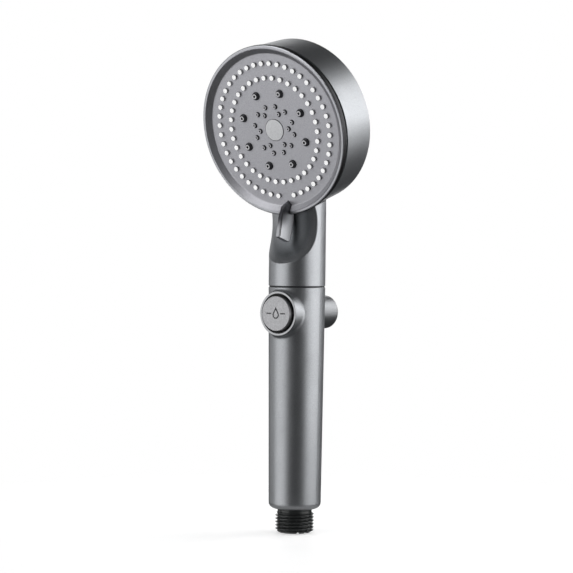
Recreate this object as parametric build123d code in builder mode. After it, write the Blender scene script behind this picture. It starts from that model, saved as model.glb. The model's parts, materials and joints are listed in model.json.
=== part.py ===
from build123d import *
import os
from math import asin, cos, degrees, radians, sin, tan

# Handheld shower head, in millimetres.
# The origin is the centre of the hose thread's end face. +Z runs up the handle, and -Y is the
# side that sprays. The head's axis leans forward from -Y by FACE_TILT.

# ---- driving dimensions -------------------------------------------------------------------

# hose thread, G1/2
THREAD_R = 20.955 / 2
THREAD_ROOT_R = 9.32
THREAD_PITCH = 1.814
THREAD_RIDGES = 6
THREAD_FIRST_Z = 1.50
THREAD_LAND = 0.36
INLET_BORE_R = 7.4
COLLAR_R = 9.9

# grip and neck
GRIP_BOTTOM_Z = 13.1
GRIP_BOTTOM_R = 14.21
GRIP_TOP_R = 15.45
GRIP_WALL = 1.8
GRIP_EDGE_R = 3.3
SEAM_Z = 134.0
SEAM_GAP = 0.6
SEAM_CHAMFER = 0.25
NECK_R = 15.45
NECK_BORE_R = 8.5
NECK_BORE_Y = 4.0
NECK_BORE_DEPTH = 55.0
NECK_MOUTH_R = 13.3

# thumb scoop in the neck: the waist of a ring-shaped cutter that stands round the neck's axis
SCOOP_AXIS_Y = 20.2
SCOOP_WAIST_R = 27.4
SCOOP_ARC_R = 32.4
SCOOP_Z = 168.0
SCOOP_TOP_ANGLE = 22
SCOOP_LIP_R = 0.8

# head: heights are measured along the head's axis from the tips of the white nozzles
FACE_TILT = 15.65
FACE_Y = -22.82
FACE_Z = 217.60
FACE_TURN = 2.5
DRUM_FRONT_H = -3.2
DRUM_BACK_H = -26.2
DRUM_FRONT_R = 45.66
DRUM_BACK_R = 44.78
DRUM_BORE_R = 43.0
DRUM_WALL = 2.2
DRUM_EDGE_R = 0.4
HUMP_H = 2.2
HUMP_BLEND_R = 1.0
SLIP_RING_R = 45.1
SLIP_RING_TOP_H = -2.25
NECK_BEND_R = 60.0

# spray face
RIM_R = 46.35
RIM_TOP_H = 1.5
RIM_BACK_H = -1.8
RIM_EDGE_R = 0.75
RIM_SEAM_R = 44.5
FLOOR_R = 41.7
FLOOR_H = -1.1
FLOOR_T = 1.6
FLOOR_CORNER_R = 1.0
SKIRT_R = 42.3
SKIRT_T = 1.3
RING_LIP_H = -0.9
MAT_TOP_H = -2.75
MAT_BACK_H = -4.0

# nozzles: radius of each ring, how many, and the nozzle's own size
OUTER_RING_R = 36.24
OUTER_RING_PLACES = 44
INNER_RING_R = 28.42
INNER_RING_COUNT = 34
NOZZLE_BASE_R = 1.45
NOZZLE_TIP_R = 1.25
NOZZLE_BORE_R = 0.28
JET_RING_R = 20.7
JET_COUNT = 8
JET_BASE_R = 2.3
JET_TIP_R = 1.25
JET_TIP_H = 0.7
JET_BORE_R = 0.5
MIST_INNER_R = 9.5
MIST_INNER_COUNT = 6
MIST_OUTER_R = 12.9
MIST_OUTER_COUNT = 12
MIST_BASE_R = 1.45
MIST_TIP_R = 0.75
MIST_TIP_H = -0.1
MIST_BORE_R = 0.3
CAP_R = 5.85
CAP_SOCKET_R = 4.25

# lever notch in the rim
NOTCH_APEX_R = 38.6
NOTCH_SHOULDER_R = 41.4
NOTCH_HALF = 1.9
LEVER_HALF = 1.65
LEVER_FRONT_HALF = 1.1
LEVER_TIP_R = 0.9
LEVER_EDGE_R = 0.4
LEVER_ROUNDED_H = 8.0

# pivot and diverter in the head
PIVOT_R = 4.0
RUNNING_FIT = 0.05
MANIFOLD_R = 40.9
MANIFOLD_BACK_H = -10.5
MANIFOLD_FRONT_H = -8.7
DIVERTER_R = 20.0
DIVERTER_BACK_H = -13.0
PORT_RING_R = 12.0
PORT_STEP = 30
PORT_R = 2.0
CHAMBER_R = 42.4
CHAMBER_BACK_H = -23.9
CHAMBER_FRONT_H = -13.5
CHAMBER_POCKET_R = 20.5
CHAMBER_POCKET_H = -19.0
FACE_SCREW_RING_R = 32.35
CHAMBER_SCREW_RING_R = 36.0
DETENT_RING_R = 26.5
DETENT_BALL_R = 1.9

# stop valve: its axis runs front to back, across the grip
VALVE_Z = 119.6
BOSS_R = 12.0
BOSS_FOOT_R = 2.5
BOSS_FRONT_Y = -17.1
TRIM_T = 0.5
BOSS_BORE_R = 10.75
BUTTON_R = 9.5
BUTTON_FRONT_Y = -19.0
KNOB_R = 9.2
KNOB_END_Y = 26.5
KNOB_FRONT_Y = 10.0
KNOB_HUB_Y = 15.0
KNOB_WALL = 1.2
BARREL_R = 7.6
BARREL_BORE_R = 6.05
BARREL_FRONT_Y = -12.0
BARREL_REAR_Y = 9.5
SPOOL_ROD_R = 2.6
SPOOL_LAND_R = 6.0
PORT_Y = -1.2
PORT_BORE_R = 2.2
PASSAGE_R = 1.1
RISER_R = 5.5
RISER_TOP_Z = 135.0

# waterway
TUBE_R = 4.2
TUBE_BORE_R = 3.0
TUBE_Y = 6.0
TUBE_BOTTOM_Z = 134.0
TUBE_TOP_Z = 184.0
SOCKET_R = 6.2
SPIGOT_R = 6.5
SPIGOT_BOTTOM_Z = 94.6
SPIGOT_TOP_Z = 106.5
BARREL_SOCKET_R = 9.0

# ---- shared planes and small helpers ------------------------------------------------------

BOTTOM_UP = (Align.CENTER, Align.CENTER, Align.MIN)
tilt = radians(FACE_TILT)
face_centre = Vector(0, FACE_Y, FACE_Z)
spray_way = Vector(0, -cos(tilt), -sin(tilt))
head_up = Vector(0, -sin(tilt), cos(tilt))

# head: looks out along the spray. face: the same, turned with the spray face.
head = Plane(origin=face_centre, x_dir=(1, 0, 0), z_dir=spray_way)
face = Plane(head.location * Rotation(0, 0, FACE_TURN))
head_axis = Axis(face_centre, spray_way)
# section plane through the head's axis: x is the radius, y is the height along the axis
head_section = Plane(origin=face_centre, x_dir=(1, 0, 0), z_dir=-head_up)
# plane across the stop valve's axis, looking out of the front
valve = Plane(origin=(0, 0, VALVE_Z), x_dir=(1, 0, 0), z_dir=(0, -1, 0))

os.makedirs("parts", exist_ok=True)


def disc(plane, low, high, radius, mode=Mode.ADD):
    """A disc between two heights over a plane."""
    with Locations(plane.offset(low).location):
        Cylinder(radius, high - low, align=BOTTOM_UP, mode=mode)


def cone(plane, low, high, low_r, high_r, mode=Mode.ADD):
    """A cone frustum between two heights over a plane."""
    with Locations(plane.offset(low).location):
        Cone(low_r, high_r, high - low, align=BOTTOM_UP, mode=mode)


def ring(plane, low, high, outer, inner):
    """A flat ring between two heights over a plane."""
    disc(plane, low, high, outer)
    disc(plane, low, high, inner, Mode.SUBTRACT)


def o_ring(plane, height, outer, wire):
    """A rubber ring whose wire has the given radius."""
    with Locations(plane.offset(height).location):
        Torus(outer - wire, wire)


def along_valve(front_y, back_y, radius, mode=Mode.ADD):
    """A disc round the stop valve's axis, from front_y back to back_y."""
    disc(valve, -back_y, -front_y, radius, mode)


def cut_notch():
    """Cut the lever's pointed notch through the spray face's outer pieces."""
    with BuildSketch(face.offset(MAT_BACK_H - 0.1)) as notch:
        with BuildLine():
            Polyline(
                (0, -NOTCH_APEX_R),
                (NOTCH_HALF, -NOTCH_SHOULDER_R),
                (NOTCH_HALF, -RIM_R - 2),
                (-NOTCH_HALF, -RIM_R - 2),
                (-NOTCH_HALF, -NOTCH_SHOULDER_R),
                close=True,
            )
        make_face()
    extrude(notch.sketch, amount=8, mode=Mode.SUBTRACT)


def place_outer_nozzles():
    """Places of the outer nozzles: all but the one that the notch takes."""
    step = 360 / OUTER_RING_PLACES
    return PolarLocations(OUTER_RING_R, OUTER_RING_PLACES - 1, -90 + step, 360 - 2 * step, endpoint=True)


def place_inner_nozzles():
    return PolarLocations(INNER_RING_R, INNER_RING_COUNT, -90)


def place_jets():
    return PolarLocations(JET_RING_R, JET_COUNT, 22.5)


def place_inner_mist():
    return PolarLocations(MIST_INNER_R, MIST_INNER_COUNT)


def place_outer_mist():
    return PolarLocations(MIST_OUTER_R, MIST_OUTER_COUNT, 15)


def place_face_screws():
    return PolarLocations(FACE_SCREW_RING_R, 4, 45)


def place_detent():
    return PolarLocations(DETENT_RING_R, 1, 90)


def place_open_port():
    return PolarLocations(PORT_RING_R, 1, 90)


def place_ports():
    """One port of the diverter for each spray mode."""
    return PolarLocations(PORT_RING_R, 5, 90 - 2 * PORT_STEP, 4 * PORT_STEP, endpoint=True)


def place_chamber_screws():
    return PolarLocations(CHAMBER_SCREW_RING_R, 4, 45)


def round_at(places, plane, low, high, low_r, high_r, mode=Mode.ADD):
    """One cone or cylinder at each place of a pattern on a plane."""
    with Locations(plane.offset(low).location):
        with places():
            if low_r == high_r:
                Cylinder(low_r, high - low, align=BOTTOM_UP, mode=mode)
            else:
                Cone(low_r, high_r, high - low, align=BOTTOM_UP, mode=mode)


def finish(piece, label):
    """Label a finished piece and write its STEP file."""
    piece.part.label = label
    export_step(piece.part, f"parts/{label}.step")


# ---- head shell: drum, neck and scoop -----------------------------------------------------

# the neck's centre line turns from the handle's axis to the head's own upright at this height
neck_tilted_h = DRUM_BACK_H - HUMP_H + NECK_R
bend_z = FACE_Z + (FACE_Y * cos(tilt) - neck_tilted_h) / sin(tilt)
bend_start_z = bend_z - NECK_BEND_R * tan(tilt / 2)
neck_bottom_z = SEAM_Z + SEAM_GAP / 2
scoop_bottom_z = SCOOP_Z - 22
scoop_tube_y = SCOOP_AXIS_Y - SCOOP_WAIST_R - SCOOP_ARC_R
scoop_arc_angle = degrees(asin((SCOOP_Z - scoop_bottom_z) / SCOOP_ARC_R))

with BuildPart() as head_shell:
    # neck: straight up the handle's axis, then leaning forward with the head, with a domed end
    with BuildLine(Plane.YZ) as neck_path:
        neck_straight = Line((0, neck_bottom_z), (0, bend_start_z))
        neck_bend = JernArc(neck_straight @ 1, neck_straight % 1, NECK_BEND_R, FACE_TILT)
        neck_end = Line(neck_bend @ 1, neck_bend @ 1 + (neck_bend % 1) * 8)
    with BuildSketch(Plane.XY.offset(neck_bottom_z)):
        Circle(NECK_R)
    sweep(path=neck_path.wires()[0])
    with Locations(Location(neck_end @ 1)):
        Sphere(NECK_R)
    # scoop: a ring-shaped cut that leaves a rounded core and flares out to the lip
    with BuildSketch(Plane.YZ):
        with BuildLine():
            scoop_arc = CenterArc(
                (scoop_tube_y, SCOOP_Z), SCOOP_ARC_R, SCOOP_TOP_ANGLE, -SCOOP_TOP_ANGLE - scoop_arc_angle
            )
            scoop_top = scoop_arc @ 0
            Polyline(
                scoop_arc @ 1,
                (scoop_tube_y, scoop_bottom_z),
                (scoop_tube_y, FACE_Z),
                (scoop_top.X, FACE_Z),
                scoop_top,
            )
        make_face()
    revolve(axis=Axis((0, SCOOP_AXIS_Y, 0), (0, 0, 1)), mode=Mode.SUBTRACT)
    fillet(head_shell.edges().filter_by(GeomType.BSPLINE).sort_by(SortBy.LENGTH)[-1], SCOOP_LIP_R)
    chamfer(head_shell.edges().group_by(Axis.Z)[0], SEAM_CHAMFER)
    # drum: slightly narrower at its back
    with BuildSketch(head_section) as drum_section:
        with BuildLine():
            Polyline(
                (0, DRUM_FRONT_H),
                (DRUM_FRONT_R, DRUM_FRONT_H),
                (DRUM_BACK_R, DRUM_BACK_H),
                (0, DRUM_BACK_H),
                close=True,
            )
        make_face()
        fillet(drum_section.vertices().filter_by(lambda v: v.X > 1), DRUM_EDGE_R)
    revolve(axis=head_axis)
    # blend of the neck's hump into the drum's flat back: all that face's edges but the outer one
    back_edges = head_shell.faces().sort_by(head_axis)[0].edges()
    fillet(back_edges.sort_by(SortBy.LENGTH)[:-1], HUMP_BLEND_R)
    # room for the spray face, which turns in front of the drum and inside it
    disc(head, DRUM_FRONT_H, DRUM_FRONT_H + 14, RIM_R + 0.35, Mode.SUBTRACT)
    disc(head, DRUM_BACK_H + DRUM_WALL, DRUM_FRONT_H, DRUM_BORE_R, Mode.SUBTRACT)
    # bore of the neck, and the wider mouth that joins the grip
    with Locations((0, NECK_BORE_Y, neck_bottom_z)):
        Cylinder(NECK_BORE_R, NECK_BORE_DEPTH, align=BOTTOM_UP, mode=Mode.SUBTRACT)
    disc(Plane.XY, neck_bottom_z, neck_bottom_z + 4, NECK_MOUTH_R, Mode.SUBTRACT)
finish(head_shell, "head_shell")

# ---- grip ---------------------------------------------------------------------------------

grip_top_z = SEAM_Z - SEAM_GAP / 2
boss_face_y = BOSS_FRONT_Y + TRIM_T

with BuildPart() as grip_sleeve:
    # tapered tube with a rounded lower edge
    with BuildSketch(Plane.XZ):
        with BuildLine():
            Polyline(
                (0, GRIP_BOTTOM_Z),
                (GRIP_BOTTOM_R, GRIP_BOTTOM_Z),
                (GRIP_TOP_R, grip_top_z),
                (0, grip_top_z),
                close=True,
            )
        make_face()
    revolve(axis=Axis.Z)
    fillet(grip_sleeve.edges().group_by(Axis.Z)[0], GRIP_EDGE_R)
    chamfer(grip_sleeve.edges().group_by(Axis.Z)[-1], SEAM_CHAMFER)
    # button boss
    along_valve(boss_face_y, -4, BOSS_R)
    fillet(grip_sleeve.edges().filter_by(GeomType.BSPLINE), BOSS_FOOT_R)
    # hollow inside, parallel to the outside
    with BuildSketch(Plane.XZ):
        with BuildLine():
            Polyline(
                (0, GRIP_BOTTOM_Z + 2.2),
                (GRIP_BOTTOM_R - GRIP_WALL, GRIP_BOTTOM_Z + 2.2),
                (GRIP_TOP_R - GRIP_WALL, grip_top_z + 1),
                (0, grip_top_z + 1),
                close=True,
            )
        make_face()
    revolve(axis=Axis.Z, mode=Mode.SUBTRACT)
    # ways out for the thread, the button and the rear knob
    disc(Plane.XY, GRIP_BOTTOM_Z - 1, GRIP_BOTTOM_Z + 3, GRIP_BOTTOM_R - GRIP_EDGE_R, Mode.SUBTRACT)
    along_valve(boss_face_y - 1, 0, BOSS_BORE_R, Mode.SUBTRACT)
    along_valve(0, 20, KNOB_R + 1.6, Mode.SUBTRACT)
finish(grip_sleeve, "grip_sleeve")

with BuildPart() as seam_gasket:
    ring(Plane.XY, grip_top_z, neck_bottom_z, NECK_R - 0.5, 13.4)
finish(seam_gasket, "seam_gasket")

with BuildPart() as collar_trim:
    along_valve(BOSS_FRONT_Y, boss_face_y, BOSS_R)
    along_valve(BOSS_FRONT_Y, boss_face_y, BOSS_BORE_R, Mode.SUBTRACT)
    fillet(collar_trim.edges().filter_by(GeomType.CIRCLE).group_by(Axis.Y)[0], 0.2)
finish(collar_trim, "collar_trim")

with BuildPart() as valve_retainer:
    along_valve(-16, -12.05, BOSS_BORE_R - 0.05)
    along_valve(-16, -13.2, BOSS_BORE_R - 0.55, Mode.SUBTRACT)
    along_valve(-16, -12.05, 7.2, Mode.SUBTRACT)
finish(valve_retainer, "valve_retainer")

with BuildPart() as rear_bush:
    along_valve(10.2, 18, KNOB_R + 1.55)
    along_valve(10.2, 18, KNOB_R + 0.4, Mode.SUBTRACT)
    with Locations((0, 0, VALVE_Z)):
        Cylinder(GRIP_TOP_R - 0.2, 2 * BOSS_R, mode=Mode.INTERSECT)
finish(rear_bush, "rear_bush")

# ---- stop valve ---------------------------------------------------------------------------

port_axis = Plane(origin=(0, PORT_Y, 0))
passage_z = TUBE_BOTTOM_Z - 1.4
tube_axis = Plane(origin=(0, TUBE_Y, 0))

with BuildPart() as valve_body:
    along_valve(BARREL_FRONT_Y, BARREL_REAR_Y, BARREL_R)
    disc(port_axis, SPIGOT_TOP_Z, VALVE_Z, RISER_R)
    disc(Plane.XY, SPIGOT_BOTTOM_Z + 0.4, SPIGOT_TOP_Z + 3.1, BARREL_SOCKET_R)
    disc(port_axis, VALVE_Z, RISER_TOP_Z, RISER_R)
    disc(tube_axis, RISER_TOP_Z - 4.5, TUBE_BOTTOM_Z + 4, SOCKET_R)
    # bores: barrel, lower port, upper port, the passage to the tube, and the two sockets
    along_valve(BARREL_FRONT_Y, BARREL_REAR_Y, BARREL_BORE_R, Mode.SUBTRACT)
    disc(port_axis, SPIGOT_TOP_Z, VALVE_Z, PORT_BORE_R, Mode.SUBTRACT)
    disc(port_axis, VALVE_Z, passage_z + PASSAGE_R + 0.2, PORT_BORE_R, Mode.SUBTRACT)
    with Locations(Location((0, PORT_Y, passage_z), (-90, 0, 0))):
        Cylinder(PASSAGE_R, TUBE_Y - PORT_Y, align=BOTTOM_UP, mode=Mode.SUBTRACT)
    disc(tube_axis, passage_z - PASSAGE_R - 0.3, TUBE_BOTTOM_Z, TUBE_BORE_R, Mode.SUBTRACT)
    disc(tube_axis, TUBE_BOTTOM_Z, TUBE_BOTTOM_Z + 4, TUBE_R + RUNNING_FIT, Mode.SUBTRACT)
    disc(Plane.XY, SPIGOT_BOTTOM_Z + 0.4, SPIGOT_TOP_Z + 1, SPIGOT_R + RUNNING_FIT, Mode.SUBTRACT)
finish(valve_body, "valve_body")

spool_grooves_y = (-5.6, 0.7, 7.7)
spool_ring_wire = 0.55

with BuildPart() as valve_spool:
    along_valve(-16.9, 24.8, SPOOL_ROD_R)
    along_valve(-6.6, 1.8, SPOOL_LAND_R)
    along_valve(6.2, 9.2, SPOOL_LAND_R)
    for groove_y in spool_grooves_y:
        along_valve(groove_y - 0.6, groove_y + 0.6, 9, Mode.SUBTRACT)
        along_valve(groove_y - 0.6, groove_y + 0.6, SPOOL_LAND_R - 1.1)
finish(valve_spool, "valve_spool")

with BuildPart() as spool_o_rings:
    for groove_y in spool_grooves_y:
        o_ring(valve, -groove_y, SPOOL_LAND_R + 0.02, spool_ring_wire)
finish(spool_o_rings, "spool_o_rings")

with BuildPart() as stop_button:
    # a cup whose boss takes the spool's end
    along_valve(BUTTON_FRONT_Y, -13.7, BUTTON_R)
    along_valve(-17.2, -13.7, BUTTON_R - 1.3, Mode.SUBTRACT)
    along_valve(-17.2, -13.2, 4.2)
    along_valve(-17.0, -13.2, SPOOL_ROD_R, Mode.SUBTRACT)
    fillet(stop_button.edges().filter_by(GeomType.CIRCLE).group_by(Axis.Y)[0], 0.5)
finish(stop_button, "stop_button")

with BuildPart() as flow_button:
    # a cup that slides over the valve's barrel, with a hub that takes the spool's other end
    along_valve(KNOB_FRONT_Y, KNOB_END_Y, KNOB_R)
    along_valve(KNOB_FRONT_Y, KNOB_END_Y - 1.6, KNOB_R - KNOB_WALL, Mode.SUBTRACT)
    along_valve(KNOB_HUB_Y, KNOB_END_Y - 1.6, 4.2)
    along_valve(KNOB_HUB_Y, KNOB_END_Y - 1.6, SPOOL_ROD_R, Mode.SUBTRACT)
    fillet(flow_button.edges().filter_by(GeomType.CIRCLE).group_by(Axis.Y)[-1], 0.8)
finish(flow_button, "flow_button")

# ---- inlet --------------------------------------------------------------------------------

connector_rings_z = (99.0, 103.0)
tube_rings_z = (135.8, 181.6)
ridge_base_half = THREAD_PITCH / 2 - 0.12

with BuildPart() as inlet_connector:
    with BuildSketch(Plane.XZ):
        with BuildLine():
            Polyline(
                (0, 0),
                (THREAD_ROOT_R - 0.7, 0),
                (THREAD_ROOT_R, 0.7),
                (THREAD_ROOT_R, 12.6),
                (COLLAR_R, 12.6),
                (COLLAR_R, GRIP_BOTTOM_Z + 2.25),
                (12.1, GRIP_BOTTOM_Z + 2.25),
                (12.1, 18.0),
                (8.5, 18.0),
                (8.5, SPIGOT_BOTTOM_Z),
                (SPIGOT_R, SPIGOT_BOTTOM_Z),
                (SPIGOT_R, SPIGOT_TOP_Z),
                (0, SPIGOT_TOP_Z),
                close=True,
            )
        make_face()
    revolve(axis=Axis.Z)
    # thread ridges, each with a cylindrical land at the thread's full diameter
    for i in range(THREAD_RIDGES):
        ridge_z = THREAD_FIRST_Z + i * THREAD_PITCH
        with BuildSketch(Plane.XZ):
            with BuildLine():
                Polyline(
                    (THREAD_ROOT_R - 0.3, ridge_z - ridge_base_half),
                    (THREAD_ROOT_R, ridge_z - ridge_base_half),
                    (THREAD_R, ridge_z - THREAD_LAND / 2),
                    (THREAD_R, ridge_z + THREAD_LAND / 2),
                    (THREAD_ROOT_R, ridge_z + ridge_base_half),
                    (THREAD_ROOT_R - 0.3, ridge_z + ridge_base_half),
                    close=True,
                )
            make_face()
        revolve(axis=Axis.Z)
    # bores, wide at the end for the screen and the restrictor
    disc(Plane.XY, 0, 20, INLET_BORE_R, Mode.SUBTRACT)
    disc(Plane.XY, 20, 107, 4.8, Mode.SUBTRACT)
    for ring_z in connector_rings_z:
        disc(Plane.XY, ring_z - 0.6, ring_z + 0.6, 9, Mode.SUBTRACT)
        ring(Plane.XY, ring_z - 0.6, ring_z + 0.6, SPIGOT_R - 1.0, 4.8)
    # two pairs of notches in the end, opposite each other
    for notch_angle, notch_half, notch_height in ((-41.3, 0.9, 1.5), (-9.3, 1.4, 2.5)):
        for turn in (0, 180):
            with BuildSketch(Plane.YZ.rotated((0, 0, notch_angle + turn)).offset(INLET_BORE_R - 1)):
                with BuildLine():
                    Polyline((-notch_half, 0), (notch_half, 0), (0, notch_height), close=True)
                make_face()
            extrude(amount=6, mode=Mode.SUBTRACT)
finish(inlet_connector, "inlet_connector")

with BuildPart() as connector_o_rings:
    for ring_z in connector_rings_z:
        o_ring(Plane.XY, ring_z, SPIGOT_R + 0.02, 0.5)
finish(connector_o_rings, "connector_o_rings")

with BuildPart() as inlet_clamp_nut:
    ring(Plane.XY, 18.05, 23, 12.2, 8.6)
    with PolarLocations(12.2, 6):
        with Locations((0, 0, 20)):
            Cylinder(1.2, 4, align=BOTTOM_UP, mode=Mode.SUBTRACT)
finish(inlet_clamp_nut, "inlet_clamp_nut")

with BuildPart() as inlet_screen:
    disc(Plane.XY, 6.5, 7.1, INLET_BORE_R - 0.02)
    with Locations((0, 0, 6)):
        with HexLocations(0.95, 6, 6):
            Cylinder(0.6, 2, align=BOTTOM_UP, mode=Mode.SUBTRACT)
    ring(Plane.XY, 7.1, 8.3, INLET_BORE_R - 0.02, INLET_BORE_R - 0.9)
finish(inlet_screen, "inlet_screen")

with BuildPart() as flow_restrictor:
    disc(Plane.XY, 16.5, 19.9, INLET_BORE_R - 0.02)
    cone(Plane.XY, 16.5, 19.9, 4.5, 2.2, Mode.SUBTRACT)
finish(flow_restrictor, "flow_restrictor")

with BuildPart() as waterway_tube:
    disc(tube_axis, TUBE_BOTTOM_Z, TUBE_TOP_Z, TUBE_R)
    disc(tube_axis, TUBE_BOTTOM_Z, TUBE_TOP_Z, TUBE_BORE_R, Mode.SUBTRACT)
    for ring_z in tube_rings_z:
        disc(tube_axis, ring_z - 0.5, ring_z + 0.5, TUBE_R + 1, Mode.SUBTRACT)
        ring(tube_axis, ring_z - 0.5, ring_z + 0.5, TUBE_R - 0.8, TUBE_BORE_R)
finish(waterway_tube, "waterway_tube")

with BuildPart() as tube_o_rings:
    for ring_z in tube_rings_z:
        o_ring(tube_axis, ring_z, TUBE_R + 0.02, 0.4)
finish(tube_o_rings, "tube_o_rings")

# ---- fixed pieces inside the head ---------------------------------------------------------

# socket that takes the waterway tube, kept within the chamber body's depth
with BuildPart() as tube_socket:
    disc(tube_axis, 179.5, 190, 5.4)
    disc(head, CHAMBER_BACK_H, CHAMBER_FRONT_H, 60, Mode.INTERSECT)

with BuildPart() as chamber_body:
    disc(head, CHAMBER_BACK_H, CHAMBER_FRONT_H, CHAMBER_R)
    add(tube_socket.part)
    disc(tube_axis, 179, TUBE_TOP_Z, TUBE_R + RUNNING_FIT, Mode.SUBTRACT)
    # pocket for the seat, the channel that feeds it, and hollows that keep the walls even
    disc(head, CHAMBER_POCKET_H, CHAMBER_FRONT_H, CHAMBER_POCKET_R, Mode.SUBTRACT)
    disc(tube_axis, TUBE_TOP_Z, 186.5, TUBE_BORE_R, Mode.SUBTRACT)
    with Locations(Plane(origin=face_centre - spray_way * 18.2 - head_up * 37, z_dir=head_up).location):
        Cylinder(3.2, 19, align=BOTTOM_UP, mode=Mode.SUBTRACT)
    # pivot post
    disc(head, CHAMBER_POCKET_H, -6.5, PIVOT_R)
    disc(head, -16, -6.5, 1.6, Mode.SUBTRACT)
    # hollow that leaves the rim wall, the screw posts, the detent post and the channel's housing
    with BuildSketch(head.offset(CHAMBER_FRONT_H)):
        Circle(CHAMBER_R - 1.6)
        Circle(CHAMBER_POCKET_R + 1.6, mode=Mode.SUBTRACT)
        with place_chamber_screws():
            Circle(4.4, mode=Mode.SUBTRACT)
        with PolarLocations(DETENT_RING_R, 1, 90 + FACE_TURN):
            Circle(3.6, mode=Mode.SUBTRACT)
        with Locations((0, -CHAMBER_R)):
            Rectangle(14, CHAMBER_R, mode=Mode.SUBTRACT)
    extrude(amount=-7.5, mode=Mode.SUBTRACT)
    # detent pocket and screw holes
    round_at(place_detent, face, CHAMBER_FRONT_H - 8, CHAMBER_FRONT_H + 1, 2.0, 2.0, Mode.SUBTRACT)
    round_at(place_chamber_screws, head, -15.5, -13, 3.1, 3.1, Mode.SUBTRACT)
    round_at(place_chamber_screws, head, -25, -15, 1.5, 1.5, Mode.SUBTRACT)
finish(chamber_body, "chamber_body")

with BuildPart() as chamber_screws:
    round_at(place_chamber_screws, head, -15.45, -13.7, 2.9, 2.9)
    round_at(place_chamber_screws, head, -23.9, -15.4, 1.45, 1.45)
    round_at(place_chamber_screws, head, -14.6, -13.6, 0.9, 0.9, Mode.SUBTRACT)
finish(chamber_screws, "chamber_screws")

with BuildPart() as port_seat:
    ring(head, -17, -15, CHAMBER_POCKET_R - 0.05, PIVOT_R + 0.1)
    round_at(place_open_port, head, -18, -14, PORT_R, PORT_R, Mode.SUBTRACT)
finish(port_seat, "port_seat")

with BuildPart() as port_seal:
    round_at(place_open_port, head, -15, -13.3, 3.6, 3.6)
    round_at(place_open_port, head, -15, -13.3, PORT_R, PORT_R, Mode.SUBTRACT)
finish(port_seal, "port_seal")

with BuildPart() as detent_ball:
    with Locations(face.offset(-12.75).location):
        with place_detent():
            Sphere(DETENT_BALL_R)
finish(detent_ball, "detent_ball")

with BuildPart() as detent_spring:
    # the spring's envelope: a thin sleeve from the pocket's floor to the ball
    round_at(place_detent, face, -21.4, -14.2, 1.8, 1.8)
    round_at(place_detent, face, -21.4, -14.2, 1.3, 1.3, Mode.SUBTRACT)
finish(detent_spring, "detent_spring")

with BuildPart() as slip_ring:
    ring(head, DRUM_FRONT_H, SLIP_RING_TOP_H, SLIP_RING_R, DRUM_BORE_R + 0.1)
finish(slip_ring, "slip_ring")

with BuildPart() as pivot_washer:
    ring(head, -6.5, -5.9, 6.0, 1.6)
finish(pivot_washer, "pivot_washer")

with BuildPart() as pivot_screw:
    disc(head, -5.9, -4.0, 3.0)
    disc(head, -16, -5.9, 1.5)
    with Locations(head.offset(-4.0).location):
        Box(4.4, 0.8, 1.6, mode=Mode.SUBTRACT)
        Box(0.8, 4.4, 1.6, mode=Mode.SUBTRACT)
finish(pivot_screw, "pivot_screw")

# ---- spray face ---------------------------------------------------------------------------

plate_back_h = FLOOR_H - FLOOR_T
skirt_end_h = -9.6

with BuildPart() as face_plate:
    # floor, sloped wall, flange and the skirt that reaches into the drum
    with BuildSketch(head_section) as plate_section:
        with BuildLine():
            Polyline(
                (CAP_SOCKET_R, FLOOR_H),
                (FLOOR_R, FLOOR_H),
                (RIM_SEAM_R - 0.12, RIM_TOP_H),
                (RIM_SEAM_R, RIM_TOP_H - 0.12),
                (RIM_SEAM_R, RING_LIP_H),
                (SKIRT_R, RING_LIP_H),
                (SKIRT_R, skirt_end_h),
                (SKIRT_R - SKIRT_T, skirt_end_h),
                (SKIRT_R - SKIRT_T, plate_back_h),
                (CAP_SOCKET_R, plate_back_h),
                close=True,
            )
        make_face()
        fillet(plate_section.vertices().filter_by(lambda v: abs(v.X - FLOOR_R) < 0.01), FLOOR_CORNER_R)
    revolve(axis=head_axis)
    # bosses for the face screws
    round_at(place_face_screws, face, -8.6, plate_back_h, 2.3, 2.3)
    round_at(place_face_screws, face, -9, -4, 0.95, 0.95, Mode.SUBTRACT)
    # holes for the nozzles, the jets and the mist nozzles, and the cap's seat
    for places, hole_r in (
        (place_outer_nozzles, NOZZLE_BASE_R + 0.05),
        (place_inner_nozzles, NOZZLE_BASE_R + 0.05),
        (place_jets, JET_BASE_R + 0.05),
        (place_inner_mist, MIST_BASE_R + 0.05),
        (place_outer_mist, MIST_BASE_R + 0.05),
    ):
        round_at(places, face, plate_back_h, FLOOR_H, hole_r, hole_r, Mode.SUBTRACT)
    disc(face, FLOOR_H - 0.7, FLOOR_H, CAP_R + 0.25, Mode.SUBTRACT)
    cut_notch()
finish(face_plate, "face_plate")

with BuildPart() as face_ring:
    with BuildSketch(head_section) as rim_section:
        with BuildLine():
            Polyline(
                (RIM_SEAM_R + 0.05, RIM_TOP_H - 0.12),
                (RIM_SEAM_R + 0.17, RIM_TOP_H),
                (RIM_R, RIM_TOP_H),
                (RIM_R, RIM_BACK_H),
                (SKIRT_R + 0.05, RIM_BACK_H),
                (SKIRT_R + 0.05, RING_LIP_H - 0.05),
                (RIM_SEAM_R + 0.05, RING_LIP_H - 0.05),
                close=True,
            )
        make_face()
        fillet(rim_section.vertices().group_by(Axis.X)[-1], RIM_EDGE_R)
    revolve(axis=head_axis)
    cut_notch()
finish(face_ring, "face_ring")

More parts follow.
